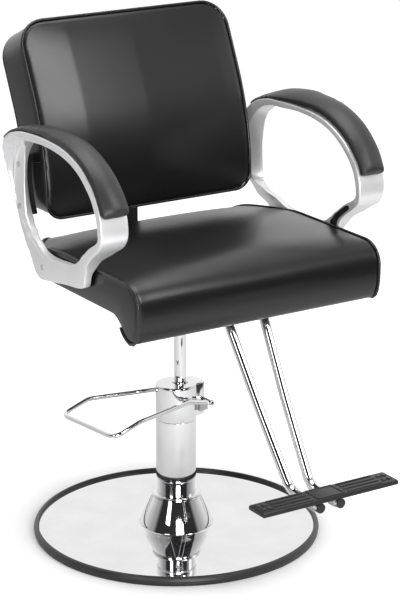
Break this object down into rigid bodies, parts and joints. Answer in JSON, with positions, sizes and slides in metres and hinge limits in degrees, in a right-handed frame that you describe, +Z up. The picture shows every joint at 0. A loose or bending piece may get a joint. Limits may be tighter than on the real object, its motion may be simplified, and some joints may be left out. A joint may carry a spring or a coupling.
{
  "type": "hydraulic hairdressing chair",
  "caption": "Hairdressing chair with padded seat and back, padded loop arms, a tubular footrest and a pedal-worked hydraulic pump on a round chrome base.",
  "frame": {"origin": "on the floor, on the axis that the chair swivels about", "axes": "+Z up along the swivel axis, -Y the way the chair faces, +X to the viewer's right when facing it"},
  "size_m": [0.634, 0.8268, 1.0294],
  "materials": {
    "chrome": "mirror-bright plating",
    "steel": "zinc-plated or machined",
    "black_steel": "black paint, satin",
    "silver": "satin silver",
    "bronze": "machined bearing bronze",
    "leather": "black artificial leather, soft sheen",
    "plastic": "black, fine matt",
    "rubber": "dark grey",
    "plywood": "raw plywood"
  },
  "bodies": {
    "base": {"base_plate": "black_steel", "base_edge_ring": "rubber", "base_cover": "chrome", "pump_foot_flange": "black_steel", "foot_bolt_1": "steel", "foot_bolt_2": "steel", "foot_bolt_3": "steel", "column_collar": "chrome", "pump_tube": "chrome", "foot_valve": "steel", "cylinder_liner": "steel", "pump_head": "chrome", "ram_bush": "bronze", "ram_wiper": "rubber", "shaft_keeper": "steel", "return_spring": "steel"},
    "lift": {"piston_head": "steel", "piston_seal": "rubber", "thrust_washer": "bronze"},
    "pedal": {"pedal_shaft": "chrome", "pedal_loop": "chrome", "pump_cam": "steel"},
    "plunger": {"pump_plunger": "steel"},
    "seat": {"arm_backing_left": "plastic", "arm_backing_right": "plastic", "arm_frame_left": "silver", "arm_frame_right": "silver", "arm_leg_screw_left_1": "silver", "arm_leg_screw_left_2": "silver", "arm_leg_screw_right_1": "silver", "arm_leg_screw_right_2": "silver", "arm_pad_left": "leather", "arm_pad_right": "leather", "arm_plate_screw_left": "silver", "arm_plate_screw_right": "silver", "back_bar": "black_steel", "back_bar_bolt_1": "steel", "back_bar_bolt_2": "steel", "back_cushion": "leather", "back_screw_1": "steel", "back_screw_2": "steel", "back_shell": "plastic", "bracket_bolt_1": "steel", "bracket_bolt_2": "steel", "bracket_bolt_3": "steel", "bracket_bolt_4": "steel", "clamp_bolt_1": "steel", "clamp_bolt_2": "steel", "footrest_clamp": "black_steel", "footrest_rail_left": "chrome", "footrest_rail_right": "chrome", "footrest_tread": "plastic", "rail_plug_left": "plastic", "rail_plug_right": "plastic", "ram": "chrome", "seat_board": "plywood", "seat_bracket": "black_steel", "seat_cushion": "leather", "strap_screw": "steel", "tread_strap": "steel"}
  },
  "joints": [
    {"name": "lift_slide", "type": "slide", "parent": "base", "child": "lift", "axis": [0, 0, 1], "range_m": [-0.15, 0.01]},
    {"name": "seat_swivel", "type": "hinge", "parent": "lift", "child": "seat", "pos_m": [0, 0, 0.3], "axis": [0, 0, 1], "continuous": true},
    {"name": "pedal_pivot", "type": "hinge", "parent": "base", "child": "pedal", "pos_m": [0.03569, 0.0047, 0.274], "axis": [0.1305, -0.9914, 0], "range_deg": [0, 25], "stiffness_Nm_per_rad": 4, "springref_deg": -28.65},
    {"name": "plunger_slide", "type": "slide", "parent": "base", "child": "plunger", "axis": [0, 0, -1], "range_m": [0, 0.0065], "deforming": ["return_spring"]}
  ],
  "couplings": [
    {"joint": "plunger_slide", "follows": "pedal_pivot", "m_per_rad": 0.0145}
  ]
}
